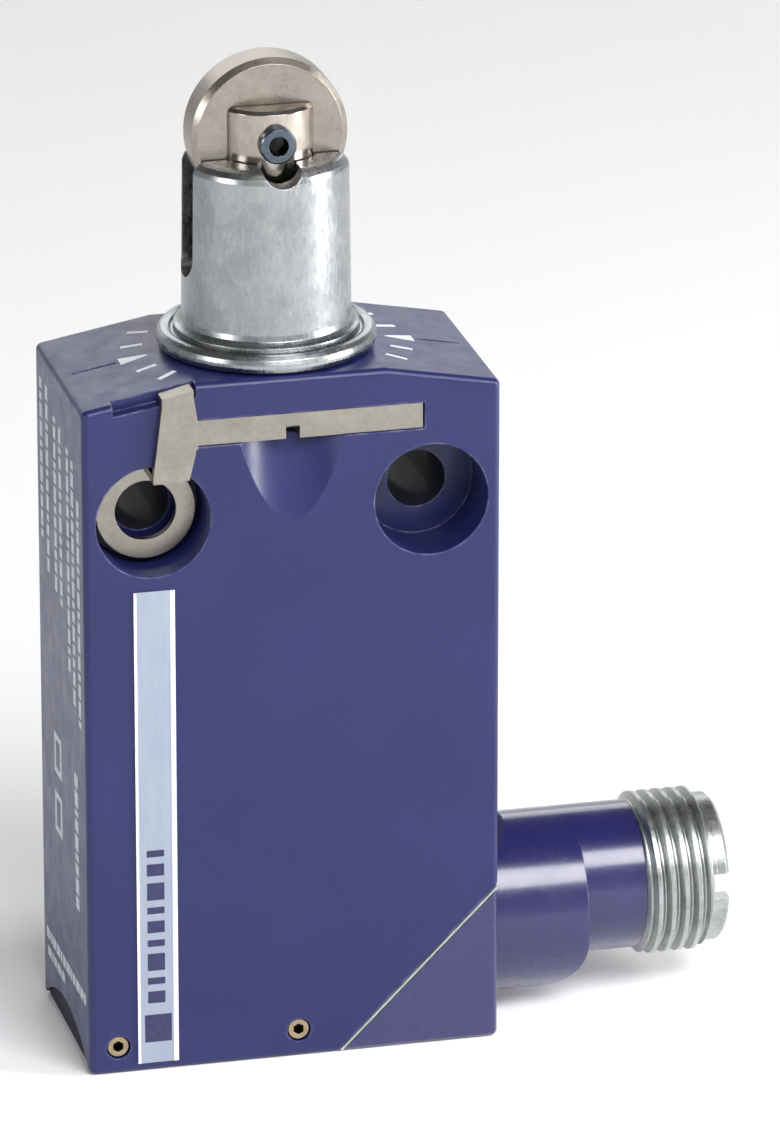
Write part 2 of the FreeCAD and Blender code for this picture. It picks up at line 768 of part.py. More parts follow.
def fixed_contacts(name, leg, strip_low, button_low, button_high):
    """Left and right strip with a button at its inner end and a terminal leg at its outer end."""
    def contact(side):
        ends = [f"{side} * 5.6", f"{side} * ({leg} + 0.2)"]
        inner_leg = [f"{side} * ({leg} - 0.2)", f"{side} * ({leg} + 0.2)"]
        if side == "-1":
            ends.reverse()
            inner_leg.reverse()
        across = (MIDDLE + " - 1", MIDDLE + " + 1")
        strip = box(ends, across, (strip_low, f"{strip_low} + 0.4"))
        terminal = box(inner_leg, across, ("terminal_low", f"{strip_low} + 0.4"))
        button = cylinder("Z", (side + " * button_offset", MIDDLE, button_low), "button_radius",
                          f"({button_high}) - ({button_low})")
        return fuse([strip, terminal, button])

    finished(fuse(pair(contact)), name, CASE_FRAME)


# ---- corner outlet ----

def joint_half_space():
    """Everything beyond the 45 degree joint, on the outlet's side of the gap."""
    low, high = slanted("-20", "-joint_gap"), slanted("40", "-joint_gap")
    return prism([low, ("40", low[1]), high], ("-40", "20"))


def tube_limit():
    """Block that ends the elbow's tube: flat at the collar, with a large bend at its underside."""
    block = box(("0", "tube_end"), ("-case_depth", "0"), ("tube_height - tube_radius", "20"))

    def underside_end(edge):
        middle = edge.CenterOfMass
        return middle.x > size("tube_end") - 0.1 and middle.z < 1

    return rounded(block, "tube_round", underside_end)


def corner_outlet():
    """Cut corner of the case with its elbow, and the spigot that turns in the case wall.

    Wires pass through the spigot's bore, a channel and a wider chamber to the seat of the connector.
    """
    block = box(("0", "case_width / 2"), ("-case_depth", "0"), ("0", "corner_leg"))

    def outer_edge(edge):
        middle = edge.CenterOfMass
        return middle.x > 1 and middle.z < size("corner_leg") - 0.1

    corner = rounded(block, "edge_round", outer_edge)
    tube = common([cylinder("X", ("case_width / 2 - 3", MIDDLE, "tube_height"), "tube_radius", "20"),
                   tube_limit()])
    collar = cylinder("X", ("case_width / 2", MIDDLE, "thread_height"), "collar_radius",
                      "collar_end - case_width / 2")
    outer = common([fuse([corner, tube, collar]), joint_half_space()])
    into_case = Vector(-1, 0, 1).normalize()
    spigot = slanted_cylinder(into_case, "spigot_radius", "-1", "spigot_length + 1")
    groove = cut(slanted_cylinder(into_case, "spigot_radius + 1", "wall + 0.1", "0.7"),
                 [slanted_cylinder(into_case, "spigot_radius - 0.45", "wall", "1")])
    bore = slanted_cylinder(into_case, "spigot_bore", "-3.2", "spigot_length + 4")
    channel = cylinder("X", ("11.5", MIDDLE, "6.2"), "2.6", "5")
    chamber = cylinder("X", ("16.2", MIDDLE, "thread_height"), "3.9", "5")
    seat = cylinder("X", ("tail_start - 0.9", MIDDLE, "thread_height"), "collar_bore", "10")
    finished(cut(fuse([outer, spigot]), [groove, bore, channel, chamber, seat]), "corner_outlet", CASE_FRAME)


def outlet_ring():
    """Retaining ring in the spigot's groove, inside the case wall."""
    into_case = Vector(-1, 0, 1).normalize()
    washer = slanted_cylinder(into_case, "spigot_radius + 0.8", "wall + 0.15", "0.6")
    hole = slanted_cylinder(into_case, "spigot_radius - 0.43", "wall", "1")
    finished(cut(washer, [hole]), "outlet_ring", CASE_FRAME)


def outlet_gasket():
    """Flat gasket on the outlet's side of the joint, set in a little from the outer faces."""
    offset = "case_width / 2 - corner_leg"
    inset = "0.1"
    near, far = "(joint_gap - 0.01) * sqrt(2)", "(joint_gap - 0.01 - gasket_thick) * sqrt(2)"
    corners = [
        (f"{offset} + {inset} + {near}", inset),
        (f"case_width / 2 - {inset}", f"corner_leg - {inset} - {near}"),
        (f"case_width / 2 - {inset}", f"corner_leg - {inset} - {far}"),
        (f"{offset} + {inset} + {far}", inset),
    ]
    sheet = prism(corners, (f"-case_depth + {inset}", f"-{inset}"))
    hole = slanted_cylinder(Vector(-1, 0, 1).normalize(), "spigot_radius + 0.02", "-2", "4")
    finished(cut(sheet, [hole]), "outlet_gasket", CASE_FRAME)


# ---- connector ----

CONNECTOR_FRAME = ("0", MIDDLE, "thread_height - fixing_height")


def connector_shell():
    """Threaded shell: grooved tail in the elbow's collar, M12 x 1 thread, plain rim with a notch.

    The thread's groove starts beyond the blank, so that it runs in over the first turn.
    """
    body = revolved([
        ("tail_bore", "tail_start"),
        ("tail_radius", "tail_start"),
        ("tail_radius", "24.2"),
        ("tail_radius - 0.7", "24.2"),
        ("tail_radius - 0.7", "25.2"),
        ("tail_radius", "25.2"),
        ("tail_radius", "collar_end"),
        ("root_radius", "collar_end"),
        ("thread_radius", "collar_end + 0.35"),
        ("thread_radius", "thread_end - 0.3"),
        ("rim_radius", "thread_end"),
        ("rim_radius", "rim_end - 0.25"),
        ("rim_radius - 0.25", "rim_end"),
        ("shell_bore", "rim_end"),
        ("shell_bore", "26"),
        ("tail_bore", "26"),
    ])
    groove = body_sketch(body, "XZ_Plane")
    root, crest = "root_radius + 0.06", "thread_radius + 0.1"
    outline(groove, [(root, "collar_end - 0.4"), (root, "collar_end - 0.3"),
                     (crest, "collar_end + 0.05"), (crest, "collar_end - 0.75")])
    thread = body.newObject("PartDesign::SubtractiveHelix", "thread")
    thread.Profile = groove
    thread.ReferenceAxis = (groove, ["V_Axis"])
    thread.Mode = 0
    thread.Pitch = 1.0
    bind(thread, "Height", "thread_end - collar_end + 0.9")
    body.Placement = Placement(Vector(), TURN_TO["X"])
    key = box(("27.4", "rim_end - 0.6"), ("-0.5", "0.5"), ("shell_bore - 0.5", "shell_bore + 0.3"))
    notch = box(("rim_end - 1.15", "rim_end + 1"), ("-thread_radius - 1", "-shell_bore + 0.8"),
                ("-0.4", "1.4"))
    finished(cut(fuse([body, key]), [notch]), "connector_shell", CONNECTOR_FRAME)


def contact_places():
    """Y and Z of the four contacts about the connector's axis."""
    reach = size("contact_circle") / math.sqrt(2)
    return [(side * reach, up * reach) for side in (-1, 1) for up in (-1, 1)]


def contact_rods():
    return [cylinder("X", ("contact_start", f"{y:.4f}", f"{z:.4f}"), "contact_radius",
                     "contact_end - contact_start") for y, z in contact_places()]


def connector_insert():
    stem = cylinder("X", ("tail_start - 0.6", "0", "0"), "tail_bore - 0.05", "26 - tail_start + 0.7")
    face = cylinder("X", ("26.02", "0", "0"), "shell_bore - 0.05", "insert_face - 26.02")
    keyway = box(("27.3", "28"), ("-0.6", "0.6"), ("shell_bore - 0.6", "shell_bore + 0.3"))
    finished(cut(fuse([stem, face]), [keyway] + contact_rods()), "connector_insert", CONNECTOR_FRAME)


def connector_pins():
    finished(fuse(contact_rods()), "connector_pins", CONNECTOR_FRAME)


def shell_seal():
    seal = ring("X", "tail_radius - 0.32", "0.38")
    finished(seal, "shell_seal", ("24.7", MIDDLE, "thread_height - fixing_height"))


def bent_wire(points, bend):
    """Round wire along straight runs joined by tangent arcs."""
    points = [Vector(*point) for point in points]
    edges, start = [], points[0]
    for before, corner, after in zip(points, points[1:], points[2:]):
        come, go = (corner - before).normalize(), (after - corner).normalize()
        turn = come.getAngle(go)
        reach = bend * math.tan(turn / 2)
        enter, leave = corner - come * reach, corner + go * reach
        sag = bend * (1 / math.cos(turn / 2) - 1)
        middle = corner + (go - come).normalize() * sag
        edges += [Part.makeLine(start, enter), Part.Arc(enter, middle, leave).toShape()]
        start = leave
    edges.append(Part.makeLine(start, points[-1]))
    direction = points[1] - points[0]
    section = Part.Wire(Part.makeCircle(size("wire_radius"), points[0], direction))
    return Part.Wire(edges).makePipeShell([section], True, False)


def spigot_mouth(distance):
    """X and Z of a point on the outlet's axis, at a distance into the case."""
    step = distance / math.sqrt(2)
    half_leg = size("corner_leg") / 2
    return (size("case_width") / 2 - half_leg - step, half_leg + step)


def wire_bundle(name, routes, bend):
    wires = DOC.addObject("Part::Feature", name)
    wires.Shape = Part.makeCompound([bent_wire(route, bend) for route in routes])
    finished(wires, name, CASE_FRAME)


def wire_depths():
    """Y of the four wires where they lie side by side."""
    middle = -size("case_depth") / 2
    return [middle + offset for offset in (-1.5, -0.5, 0.5, 1.5)]


def case_wires():
    """From the terminals to the mouth of the outlet's spigot."""
    end_x, end_z = spigot_mouth(size("spigot_length") + 0.5)
    middle = -size("case_depth") / 2
    foot = size("terminal_low") - 0.3
    routes = []
    for terminal, lane in zip((9.0, 8.0), wire_depths()):
        routes.append([(terminal, middle, foot), (terminal - 1.5, lane, 10.9), (end_x, lane, end_z)])
    for terminal, lane in zip((-8.0, -9.0), wire_depths()[2:]):
        routes.append([(terminal, middle, foot), (terminal + 0.6, lane, 9.7), (end_x - 2, lane, end_z + 0.7),
                       (end_x, lane, end_z)])
    wire_bundle("case_wires", routes, 0.8)


def outlet_wires():
    """From the mouth of the spigot to the tails of the connector's contacts."""
    end_x, end_z = spigot_mouth(size("spigot_length") + 0.05)
    turn_x, turn_z = spigot_mouth(-2.4)
    middle = -size("case_depth") / 2
    routes = []
    for (y, z), lane in zip(contact_places(), wire_depths()):
        routes.append([
            (size("contact_start") - 0.35, middle + y, size("thread_height") + z),
            (17.4, lane, 7.0 + math.copysign(0.3, z)),
            (turn_x, lane, turn_z),
            (end_x, lane, end_z),
        ])
    wire_bundle("outlet_wires", routes, 1.0)


def check_document():
    """Stops on a failed object or a sub-part without a sound shape."""
    DOC.recompute()
    for thing in DOC.Objects:
        if "Invalid" in thing.State or "Error" in thing.State:
            raise RuntimeError(f"{thing.Name} ({thing.Label}) did not compute: {thing.State}")
    for part in SUB_PARTS:
        if part.Shape.isNull() or not part.Shape.isValid() or part.Shape.Volume <= 0:
            raise RuntimeError(f"{part.Label} has no sound shape")


def write_parts():
    os.makedirs("parts", exist_ok=True)
    for part in SUB_PARTS:
        part.Shape.exportStep(os.path.join("parts", part.Label + ".step"))
        print(f"{part.Label:22s} solids {len(part.Shape.Solids)}  volume {part.Shape.Volume:9.2f}")


housing()
back_cover()
cover_screws()
base_plug()
grub_screws()
label_strip()
retaining_clip()
head_body()
head_seal()
plunger_seal()
plunger()
roller()
roller_pin()
plunger_spring()
push_rod()
contact_block_base()
contact_block_lid()
contact_carriage()
carriage_spring()
contact_bridge()
fixed_contacts("fixed_contacts_upper", "9", "blade_height + 1.3", "blade_height + 0.85",
               "blade_height + 1.4")
fixed_contacts("fixed_contacts_lower", "8", "blade_height - 2.5", "blade_height - 2.2",
               "blade_height - 1.65")
corner_outlet()
outlet_ring()
outlet_gasket()
connector_shell()
connector_insert()
connector_pins()
shell_seal()
case_wires()
outlet_wires()
check_document()
write_parts()
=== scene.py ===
import json
import math

import bmesh
import bpy
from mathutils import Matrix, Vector


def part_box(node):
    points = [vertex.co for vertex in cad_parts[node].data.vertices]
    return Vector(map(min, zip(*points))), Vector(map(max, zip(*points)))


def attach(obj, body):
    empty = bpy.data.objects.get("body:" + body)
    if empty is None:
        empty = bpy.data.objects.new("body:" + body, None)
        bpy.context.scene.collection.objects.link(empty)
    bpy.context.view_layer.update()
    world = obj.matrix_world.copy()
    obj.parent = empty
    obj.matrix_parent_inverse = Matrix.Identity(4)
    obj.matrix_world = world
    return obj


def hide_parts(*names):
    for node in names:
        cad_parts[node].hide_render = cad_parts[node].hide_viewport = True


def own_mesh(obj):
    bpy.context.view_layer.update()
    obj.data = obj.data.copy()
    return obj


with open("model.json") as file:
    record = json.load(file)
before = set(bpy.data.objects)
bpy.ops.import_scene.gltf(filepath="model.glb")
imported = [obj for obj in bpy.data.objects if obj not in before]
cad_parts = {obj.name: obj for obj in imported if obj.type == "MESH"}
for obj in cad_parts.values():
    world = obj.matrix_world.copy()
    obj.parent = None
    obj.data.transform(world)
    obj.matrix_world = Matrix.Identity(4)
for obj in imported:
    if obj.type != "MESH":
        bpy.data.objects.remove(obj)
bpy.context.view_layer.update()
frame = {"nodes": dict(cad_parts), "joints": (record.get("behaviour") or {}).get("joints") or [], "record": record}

MM = 0.001
JOINTS = {joint["name"]: joint for joint in frame["joints"]}
HOUSING_LOW, HOUSING_HIGH = (Vector(corner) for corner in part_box("housing"))
HEAD_AXIS = Vector(JOINTS["head_turn"]["pos_m"])
CROWN_HALF = 6.75 * MM    # half the width of the flat top between the two slopes
CROWN_RISE = 1.5 * MM     # height of the flat top over the shoulders


# ---- node helpers ----

class Surface:
    """A principled material whose colour, roughness and relief are built from nodes."""

    def __init__(self, name, metallic=0.0, **fixed):
        self.material = bpy.data.materials.new(name)
        self.material.use_nodes = True
        self.tree = self.material.node_tree
        self.shader = self.tree.nodes["Principled BSDF"]
        self.shader.inputs["Metallic"].default_value = metallic
        for socket, value in fixed.items():
            self.shader.inputs[socket.replace("_", " ")].default_value = value
        self.place = self.add("ShaderNodeTexCoord").outputs["Object"]

    def add(self, kind, settings=None, **inputs):
        node = self.tree.nodes.new(kind)
        for key, value in (settings or {}).items():
            setattr(node, key, value)
        for socket, value in inputs.items():
            self.put(node.inputs[socket.replace("_", " ")], value)
        return node

    def put(self, socket, value):
        if isinstance(value, bpy.types.NodeSocket):
            self.tree.links.new(value, socket)
        else:
            socket.default_value = value

    def stretched(self, scale):
        """The object's own coordinates, stretched along its axes."""
        node = self.add("ShaderNodeMapping", Vector=self.place)
        node.inputs["Scale"].default_value = scale
        return node.outputs["Vector"]

    def noise(self, grain, detail=4.0, rough=0.55, stretch=None):
        """Noise whose grain is given in metres."""
        place = self.stretched(stretch) if stretch else self.place
        node = self.add("ShaderNodeTexNoise", Vector=place, Scale=1.0 / grain, Detail=detail,
                        Roughness=rough)
        return node.outputs["Fac"]

    def spread(self, value, low, high, start=0.3, end=0.7):
        """A value stretched from one range to another."""
        node = self.add("ShaderNodeMapRange")
        for socket, number in zip(("From Min", "From Max", "To Min", "To Max"), (start, end, low, high)):
            node.inputs[socket].default_value = number
        self.put(node.inputs["Value"], value)
        return node.outputs["Result"]

    def mix(self, share, first, second):
        node = self.add("ShaderNodeMix", {"data_type": "RGBA"})
        self.put(node.inputs["Factor"], share)
        self.put(node.inputs[6], (*first, 1.0) if isinstance(first, tuple) else first)
        self.put(node.inputs[7], (*second, 1.0) if isinstance(second, tuple) else second)
        return node.outputs[2]

    def math(self, operation, first, second=0.0):
        node = self.add("ShaderNodeMath", {"operation": operation, "use_clamp": True})
        self.put(node.inputs[0], first)
        self.put(node.inputs[1], second)
        return node.outputs[0]

    def within(self, low, high):
        """Mask that is 1 between two corners, in the object's own coordinates."""
        split = self.add("ShaderNodeSeparateXYZ", Vector=self.place)
        mask = None
        for axis, start, end in zip("XYZ", low, high):
            above = self.math("GREATER_THAN", split.outputs[axis], start)
            inside = self.math("MULTIPLY", above, self.math("LESS_THAN", split.outputs[axis], end))
            mask = self.math("MULTIPLY", mask, inside) if mask else inside
        return mask

    def edges(self, radius, low=0.02, high=0.25):
        """Mask that is 1 along edges and 0 on open faces."""
        soft = self.add("ShaderNodeBevel", {"samples": 6}, Radius=radius).outputs["Normal"]
        sharp = self.add("ShaderNodeNewGeometry").outputs["Normal"]
        dot = self.add("ShaderNodeVectorMath", {"operation": "DOT_PRODUCT"})
        self.put(dot.inputs[0], soft)
        self.put(dot.inputs[1], sharp)
        return self.spread(self.math("SUBTRACT", 1.0, dot.outputs["Value"]), 0.0, 1.0, low, high)

    def relief(self, layers, round_edge=0.0):
        """Bump from layers of height value, depth in metres and strength."""
        normal = None
        if round_edge:
            normal = self.add("ShaderNodeBevel", {"samples": 6}, Radius=round_edge).outputs["Normal"]
        for height, depth, strength in layers:
            node = self.add("ShaderNodeBump", Height=height, Distance=depth, Strength=strength)
            if normal:
                self.put(node.inputs["Normal"], normal)
            normal = node.outputs["Normal"]
        self.put(self.shader.inputs["Normal"], normal)

    def finish(self, colour, roughness):
        self.put(self.shader.inputs["Base Color"], colour)
        self.put(self.shader.inputs["Roughness"], roughness)
        return self.material


def painted(name, deep, light, edge_wear_and_highlight, rough_low, rough_high, coat, specular, shaded_recesses=()):
    """Paint on a die casting: drifting tone, fine speckle, orange-peel relief, lighter edges that are partly paint
    worn thin and partly a painted highlight, and painted shade inside any recesses."""
    s = Surface(name, Coat_Weight=coat, Coat_Roughness=0.14, Specular_IOR_Level=specular)
    drift = s.spread(s.noise(9 * MM, 3.0), 0.0, 1.0)
    speck = s.spread(s.noise(0.22 * MM, 5.0, 0.7), 0.0, 1.0, 0.35, 0.65)
    tone = s.mix(s.math("MULTIPLY", drift, 0.5), deep, light)
    tone = s.mix(s.math("MULTIPLY", speck, 0.4), tone, light)
    # lighter edges: partly paint worn thin, partly a painted highlight along the rims
    patchy = s.spread(s.noise(0.9 * MM, 4.0, 0.7), 0.0, 1.0, 0.42, 0.62)
    worn_and_highlit_edge = s.math("MULTIPLY", s.edges(0.3 * MM, 0.03, 0.2), patchy)
    tone = s.mix(s.math("MULTIPLY", worn_and_highlit_edge, edge_wear_and_highlight), tone, (0.18, 0.18, 0.32))
    rough = s.spread(s.noise(1.6 * MM, 5.0), rough_low, rough_high)
    # painted shade: walls inside the foot recess and the fixing holes are mixed towards near black and made rough
    for shaded_recess in shaded_recesses:
        inside = s.within(*shaded_recess)
        tone = s.mix(s.math("MULTIPLY", inside, 0.85), tone, (0.003, 0.003, 0.012))
        rough = s.math("MAXIMUM", rough, s.math("MULTIPLY", inside, 0.8))
    s.relief([(s.noise(0.55 * MM, 3.0, 0.5), 0.02 * MM, 0.5), (s.noise(0.12 * MM, 2.0), 0.006 * MM, 0.5)],
             round_edge=0.14 * MM)
    return s.finish(tone, rough)


def metal(name, dark, bright, rough_low, rough_high, grain=0.4 * MM, stretch=None, pits=0.3,
          rounding=0.06 * MM, spots=0.0, socket=None):
    """Bare or plated metal: clouded tone, fine grain that may run one way, bright edges, dark spots and
    painted shade in a socket."""
    s = Surface(name, metallic=1.0)
    cloud = s.spread(s.noise(2.4 * MM, 5.0, 0.6), 0.0, 1.0)
    fine = s.spread(s.noise(grain, 4.0, 0.65, stretch), 0.0, 1.0)
    blend = s.math("ADD", s.math("MULTIPLY", cloud, 0.55), s.math("MULTIPLY", fine, 0.4))
    tone = s.mix(blend, dark, bright)
    tone = s.mix(s.math("MULTIPLY", s.edges(0.15 * MM), 0.6), tone, bright)
    if spots:
        mark = s.spread(s.noise(0.35 * MM, 3.0, 0.7), 0.0, 1.0, 0.64, 0.74)
        tone = s.mix(s.math("MULTIPLY", mark, spots), tone, (0.20, 0.19, 0.18))
    # painted shade: the inside of a socket (screw hex, pin dimple) is mixed towards near black
    if socket:
        tone = s.mix(s.math("MULTIPLY", s.within(*socket), 0.85), tone, (0.02, 0.018, 0.016))
    layers = [(s.noise(grain, 4.0, 0.6, stretch), 0.012 * MM, pits),
              (s.noise(1.2 * MM, 3.0), 0.03 * MM, pits)]
    s.relief(layers, round_edge=rounding)
    unevenness = s.math("ADD", s.math("MULTIPLY", fine, 0.5), s.math("MULTIPLY", cloud, 0.5))
    return s.finish(tone, s.spread(unevenness, rough_low, rough_high, 0.0, 1.0))


def soft_plastic(name, dark, light, rough_low, rough_high):
    """Moulded plastic or rubber with a fine texture."""
    s = Surface(name)
    tone = s.mix(s.spread(s.noise(1.5 * MM, 4.0), 0.0, 1.0), dark, light)
    s.relief([(s.noise(0.3 * MM, 4.0, 0.6), 0.015 * MM, 0.4)], round_edge=0.08 * MM)
    return s.finish(tone, s.spread(s.noise(0.9 * MM, 3.0), rough_low, rough_high))


def label_material():
    """Brushed silver film, a little bluer in the middle and scuffed."""
    s = Surface("label_film", metallic=0.55)
    brushed = s.spread(s.noise(0.25 * MM, 5.0, 0.7, (1.0, 1.0, 0.06)), 0.0, 1.0)
    cloud = s.spread(s.noise(5 * MM, 3.0), 0.0, 1.0)
    tone = s.mix(s.math("ADD", s.math("MULTIPLY", brushed, 0.5), s.math("MULTIPLY", cloud, 0.4)),
                 (0.29, 0.33, 0.42), (0.38, 0.42, 0.50))
    s.relief([(brushed, 0.004 * MM, 0.3)], round_edge=0.03 * MM)
    return s.finish(tone, s.spread(brushed, 0.34, 0.5, 0.0, 1.0))


def ink(name, colour, other):
    """Printed ink, slightly uneven in cover."""
    s = Surface(name)
    tone = s.mix(s.spread(s.noise(0.35 * MM, 5.0, 0.75), 0.0, 1.0), colour, other)
    s.relief([(s.noise(0.1 * MM, 3.0), 0.004 * MM, 0.4)])
    return s.finish(tone, s.spread(s.noise(0.5 * MM, 3.0), 0.45, 0.65))


def cable_cover():
    """Wire insulation: each wire takes its own tone from where it lies across the bundle."""
    s = Surface("wire_cover")
    across = s.add("ShaderNodeSeparateXYZ", Vector=s.place).outputs["Y"]
    tone = s.mix(s.spread(across, 0.0, 1.0, -0.0088, -0.0072), (0.02, 0.05, 0.22), (0.22, 0.08, 0.03))
    s.relief([(s.noise(0.3 * MM), 0.01 * MM, 0.3)])
    return s.finish(tone, s.spread(s.noise(0.8 * MM), 0.35, 0.5))



# Regions of the case that get painted shade (a near-black, rough tone), as pairs of opposite corners.  They stop
# short of the case's
#  flat outer faces, so that only the walls inside a hole or recess are shaded.
FOOT_RECESS = ((HOUSING_LOW.x + 0.07 * MM, HOUSING_LOW.y + 0.3 * MM, HOUSING_LOW.z - MM),
               (HOUSING_LOW.x + 0.5 * MM, HOUSING_HIGH.y - 0.3 * MM, HOUSING_LOW.z + 2.6 * MM))
MOUNTS = {mount["name"]: mount for mount in frame["record"]["mounts"]}
HOLE_SPACING = MOUNTS["fixing_holes"]["dims"]["spacing_x_mm"] * MM
HOLE_REACH = (MOUNTS["fixing_holes"]["dims"]["hole_r_mm"] + 0.1) * MM
COUNTERBORE_FLOOR = -11.5 * MM
FIXING_HOLES = [(Vector((x - HOLE_REACH, COUNTERBORE_FLOOR + 0.05 * MM, -HOLE_REACH)),
                 Vector((x + HOLE_REACH, HOUSING_HIGH.y - 0.01 * MM, HOLE_REACH)))
                for x in (-HOLE_SPACING / 2, HOLE_SPACING / 2)]


def socket_of(node, rim, depth):
    """Opposite corners of a box that holds the inside of a socket sunk in the front of a node."""
    low, high = (Vector(corner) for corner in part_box(node))
    return low + Vector((rim, 0.12 * MM, rim)), Vector((high.x - rim, low.y + depth, high.z - rim))


MATERIALS = {
    "case_paint": painted("case_paint", (0.0085, 0.011, 0.070), (0.014, 0.018, 0.102), 0.8,
                          0.30, 0.42, 0.05, 0.40, [FOOT_RECESS, *FIXING_HOLES]),
    "outlet_paint": painted("outlet_paint", (0.008, 0.007, 0.068), (0.014, 0.013, 0.100), 0.25,
                            0.20, 0.30, 0.7, 0.5),
    "head_zinc": metal("head_zinc", (0.22, 0.24, 0.26), (0.44, 0.45, 0.45), 0.20, 0.36, 0.3 * MM,
                       (1.0, 1.0, 0.35), 0.45, 0.1 * MM, 0.35),
    "plunger_steel": metal("plunger_steel", (0.25, 0.215, 0.185), (0.50, 0.455, 0.41), 0.10, 0.22, 0.5 * MM,
                           (1.0, 1.0, 0.3), 0.25),
    "roller_steel": metal("roller_steel", (0.235, 0.205, 0.18), (0.39, 0.345, 0.305), 0.24, 0.38, 0.25 * MM,
                          None, 0.25, 0.06 * MM, 0.3),
    "pin_steel": metal("pin_steel", (0.05, 0.062, 0.082), (0.15, 0.18, 0.22), 0.22, 0.36, 0.2 * MM,
                       socket=socket_of("roller_pin", 0.5 * MM, 1.4 * MM)),
    "clip_metal": metal("clip_metal", (0.23, 0.212, 0.183), (0.37, 0.345, 0.305), 0.26, 0.40, 0.35 * MM,
                        None, 0.25, 0.05 * MM, 0.15),
    "brass_screw": metal("brass_screw", (0.26, 0.20, 0.12), (0.52, 0.43, 0.29), 0.22, 0.4,
                         socket=socket_of("grub_screws", 0.0, 1.5 * MM)),
    "bright_steel": metal("bright_steel", (0.42, 0.42, 0.42), (0.7, 0.7, 0.7), 0.22, 0.36, 0.3 * MM),
    "shell_zinc": metal("shell_zinc", (0.25, 0.265, 0.26), (0.56, 0.57, 0.565), 0.26, 0.42, 0.3 * MM,
                        None, 0.5, 0.05 * MM, 0.4),
    "spring_steel": metal("spring_steel", (0.3, 0.3, 0.31), (0.6, 0.6, 0.62), 0.2, 0.35),
    "contact_brass": metal("contact_brass", (0.5, 0.36, 0.16), (0.85, 0.72, 0.46), 0.2, 0.35),
    "pin_gold": metal("pin_gold", (0.62, 0.42, 0.12), (0.95, 0.75, 0.35), 0.12, 0.25),
    "label_film": label_material(),
    "gasket_rubber": soft_plastic("gasket_rubber", (0.36, 0.38, 0.35), (0.52, 0.54, 0.50), 0.5, 0.7),
    "seal_rubber": soft_plastic("seal_rubber", (0.012, 0.012, 0.013), (0.03, 0.03, 0.032), 0.45, 0.65),
    "moulding": soft_plastic("moulding", (0.02, 0.02, 0.022), (0.045, 0.045, 0.05), 0.4, 0.6),
    "carriage_moulding": soft_plastic("carriage_moulding", (0.55, 0.52, 0.44), (0.7, 0.68, 0.6), 0.35, 0.5),
    "insert_plastic": soft_plastic("insert_plastic", (0.012, 0.012, 0.013), (0.03, 0.03, 0.034), 0.35, 0.55),
    "wire_cover": cable_cover(),
    "white_ink": ink("white_ink", (0.58, 0.58, 0.64), (0.74, 0.74, 0.78)),
    "grey_ink": ink("grey_ink", (0.34, 0.36, 0.42), (0.60, 0.62, 0.66)),
    "navy_ink": ink("navy_ink", (0.012, 0.012, 0.06), (0.03, 0.03, 0.10)),
}


# ---- CAD nodes ----

def dress_frame():
    """Gives each CAD node the finish of its slot."""
    slots = {row["node"]: row["material_slot"] for row in frame["record"]["subparts"]}
    for name, thing in frame["nodes"].items():
        thing.data.materials.clear()
        thing.data.materials.append(MATERIALS[slots[name]])


def working_spring(node, body):
    """Copy of a coil spring, attached to its body in place of its hidden CAD node."""
    thing = bpy.data.objects.new("working_" + node, frame["nodes"][node].data.copy())
    bpy.context.scene.collection.objects.link(thing)
    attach(thing, body)
    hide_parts(node)
    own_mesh(thing)


# ---- printed marks ----

def plate(name, outlines, thickness, material, body):
    """Thin raised plates, one for each closed outline of points with its outward direction."""
    mesh = bmesh.new()
    for points, outward in outlines:
        low = [mesh.verts.new(point) for point in points]
        high = [mesh.verts.new(Vector(point) + outward * thickness) for point in points]
        mesh.faces.new(high)
        mesh.faces.new(list(reversed(low)))
        for i in range(len(points)):
            j = (i + 1) % len(points)
            mesh.faces.new((low[i], low[j], high[j], high[i]))
    bmesh.ops.recalc_face_normals(mesh, faces=mesh.faces)
    data = bpy.data.meshes.new(name)
    mesh.to_mesh(data)
    mesh.free()
    data.materials.append(MATERIALS[material])
    thing = bpy.data.objects.new(name, data)
    bpy.context.scene.collection.objects.link(thing)
    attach(thing, body)


def roof_point(x, y):
    """Point on the sloping top of the case, above a place in plan measured from the head's axis."""
    fall = max(0.0, abs(x) - CROWN_HALF) / (HOUSING_HIGH.x - CROWN_HALF) * CROWN_RISE
    return Vector((x, HEAD_AXIS.y + y, HOUSING_HIGH.z - fall))


def roof_normal(side):
    """Outward direction of the crown's left or right slope."""
    return Vector((side * CROWN_RISE, 0, HOUSING_HIGH.x - CROWN_HALF)).normalized()


def scale_marks():
    """White ticks every 15 degrees round the flange, with a wedge on the case's mid plane."""
    inner, outer = 8.75 * MM, 10.3 * MM
    outlines = []
    for side in (1, -1):
        for step in (-2, -1, 1, 2):
            angle = math.radians(15 * step)
            along = Vector((side * math.cos(angle), math.sin(angle)))
            across = Vector((-along.y, along.x)) * 0.18 * MM
            corners = [along * inner + across, along * outer + across, along * outer - across,
                       along * inner - across]
            outlines.append(([roof_point(*corner) for corner in corners], roof_normal(side)))
        wedge = [(8.6, 0.08), (10.6, 0.62), (10.6, -0.62), (8.6, -0.08)]
        outlines.append(([roof_point(side * x * MM, y * MM) for x, y in wedge], roof_normal(side)))
    plate("scale_marks", outlines, 0.03 * MM, "white_ink", "case")


def front_bar(left, right, low, high, depth):
    """Rectangle on a plane facing the front."""
    return ([Vector((left, depth, low)), Vector((right, depth, low)), Vector((right, depth, high)),
             Vector((left, depth, high))], Vector((0, -1, 0)))


